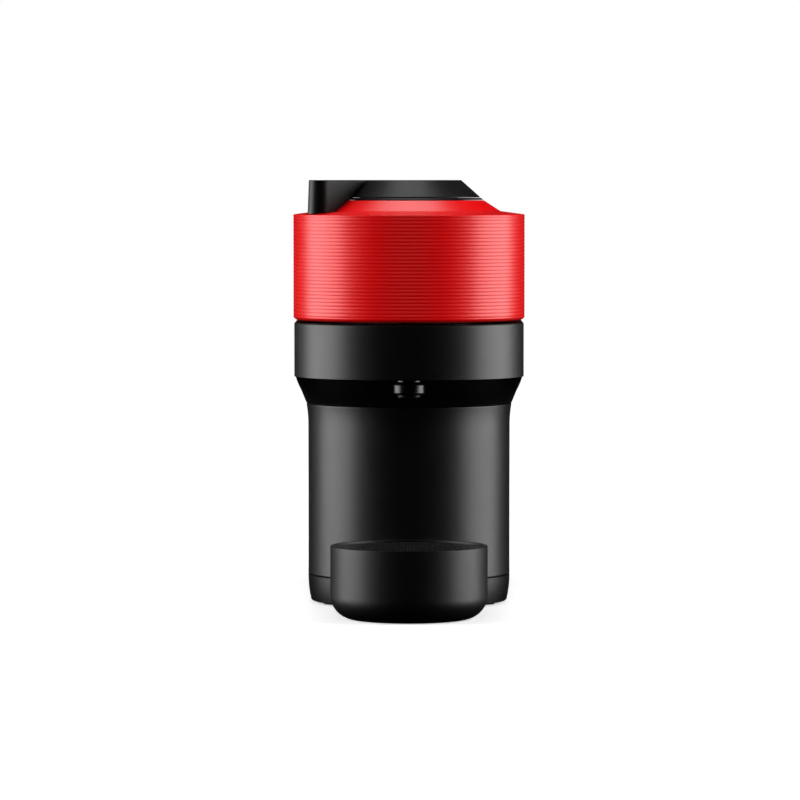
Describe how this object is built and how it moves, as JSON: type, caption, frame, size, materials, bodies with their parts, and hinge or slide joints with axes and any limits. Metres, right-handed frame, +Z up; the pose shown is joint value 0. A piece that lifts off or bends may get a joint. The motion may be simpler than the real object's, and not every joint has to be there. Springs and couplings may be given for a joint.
{
  "type": "capsule espresso machine",
  "caption": "Narrow capsule espresso machine with a hinged round head, lock lever, spout over a round cup support, sliding used-capsule container and rear water tank.",
  "frame": {"origin": "centre of the footprint, on the worktop under the feet", "axes": "+Z up, -Y towards the front with the spout and cup support, X across the machine's width"},
  "size_m": [0.136, 0.426, 0.258],
  "materials": {
    "red_cover": "gloss",
    "black_gloss": "gloss",
    "black_satin": "satin",
    "dark_frame": "matte",
    "grey_plastic": "matte",
    "white_plastic": "matte",
    "steel": "brushed",
    "spring_steel": "polished",
    "zinc_screw": "satin",
    "cast_alloy": "cast",
    "motor_can": "satin",
    "rotor_iron": "ground",
    "bronze": "satin",
    "rubber_black": "matte",
    "seal_grey": "matte",
    "silicone_hose": "satin",
    "clear_tank": "clear",
    "board_green": "satin"
  },
  "bodies": {
    "housing": {"base_plate": "black_satin", "rubber_feet": "rubber_black", "base_screws": "zinc_screw", "main_body": "black_gloss", "head_housing": "black_gloss", "rear_cover": "black_gloss", "back_panel": "dark_frame", "hinge_pin": "steel", "cord_gland": "rubber_black", "brew_deck": "black_satin", "deck_screws": "zinc_screw", "brew_bowl": "dark_frame", "holder_bearing": "white_plastic", "coffee_spout": "black_gloss", "capsule_chute": "dark_frame", "code_reader": "board_green", "tank_seat": "dark_frame", "tank_seal": "seal_grey", "pump_body": "motor_can", "pump_spring": "spring_steel", "pump_mounts": "rubber_black", "thermoblock": "cast_alloy", "thermal_fuse": "steel", "flow_meter_body": "grey_plastic", "main_board": "board_green", "suction_hose": "silicone_hose", "meter_hose": "silicone_hose", "pressure_hose": "silicone_hose", "hot_water_tube": "white_plastic"},
    "lid": {"lid_cover": "red_cover", "lid_frame": "dark_frame", "lid_screws": "zinc_screw", "lid_seal": "seal_grey", "top_cone": "black_gloss", "motor_stator": "motor_can", "rotor_bearings": "bronze", "water_inlet": "grey_plastic", "button_board": "board_green", "button_spring": "spring_steel"},
    "button": {"brew_button": "black_gloss"},
    "lock": {"lock_lever": "black_gloss", "lock_ring": "dark_frame"},
    "spinner": {"motor_rotor": "rotor_iron", "clamp_plate": "grey_plastic", "injection_needle": "steel"},
    "holder": {"capsule_holder": "steel"},
    "plunger": {"pump_plunger": "steel"},
    "meter_wheel": {"flow_meter_rotor": "white_plastic"},
    "container": {"capsule_container": "black_gloss"},
    "cup_stand": {"cup_support": "black_gloss"},
    "grid": {"drip_grid": "black_satin"},
    "tank": {"water_tank": "clear_tank", "tank_valve_body": "grey_plastic", "valve_spring": "spring_steel"},
    "tank_cover": {"tank_lid": "black_satin"},
    "poppet": {"valve_poppet": "white_plastic"}
  },
  "joints": [
    {"name": "lid_hinge", "type": "hinge", "parent": "housing", "child": "lid", "pos_m": [0, -0.045, 0.2255], "axis": [-1, 0, 0], "range_deg": [0, 70]},
    {"name": "lock_turn", "type": "hinge", "parent": "lid", "child": "lock", "pos_m": [0, -0.145, 0.246], "axis": [0, 0, 1], "range_deg": [0, 35]},
    {"name": "button_press", "type": "slide", "parent": "lid", "child": "button", "axis": [0, 0, -1], "range_m": [0, 0.0012], "stiffness_N_per_m": 900, "springref_m": -0.0006, "deforming": ["button_spring"]},
    {"name": "spinner_turn", "type": "hinge", "parent": "lid", "child": "spinner", "pos_m": [0, -0.145, 0.2], "axis": [0, 0, 1], "continuous": true},
    {"name": "holder_turn", "type": "hinge", "parent": "housing", "child": "holder", "pos_m": [0, -0.145, 0.16], "axis": [0, 0, 1], "continuous": true},
    {"name": "pump_stroke", "type": "slide", "parent": "housing", "child": "plunger", "axis": [0, 0, 1], "range_m": [0, 0.003], "stiffness_N_per_m": 600, "springref_m": -0.001, "deforming": ["pump_spring"]},
    {"name": "meter_turn", "type": "hinge", "parent": "housing", "child": "meter_wheel", "pos_m": [0.028, 0.112, 0.031], "axis": [0, 0, 1], "continuous": true},
    {"name": "container_slide", "type": "slide", "parent": "housing", "child": "container", "axis": [0, -1, 0], "range_m": [0, 0.11]},
    {"name": "cup_stand_slide", "type": "slide", "parent": "container", "child": "cup_stand", "axis": [0, -1, 0], "range_m": [0, 0.03]},
    {"name": "grid_lift", "type": "slide", "parent": "cup_stand", "child": "grid", "axis": [0, 0, 1], "range_m": [0, 0.04]},
    {"name": "tank_lift", "type": "slide", "parent": "housing", "child": "tank", "axis": [0, 0, 1], "range_m": [0, 0.2]},
    {"name": "tank_lid_lift", "type": "slide", "parent": "tank", "child": "tank_cover", "axis": [0, 0, 1], "range_m": [0, 0.05]},
    {"name": "valve_lift", "type": "slide", "parent": "tank", "child": "poppet", "axis": [0, 0, 1], "range_m": [0, 0.002], "stiffness_N_per_m": 150, "springref_m": -0.002, "deforming": ["valve_spring"]}
  ],
  "couplings": [
    {"joint": "holder_turn", "follows": "spinner_turn", "ratio": 1}
  ]
}
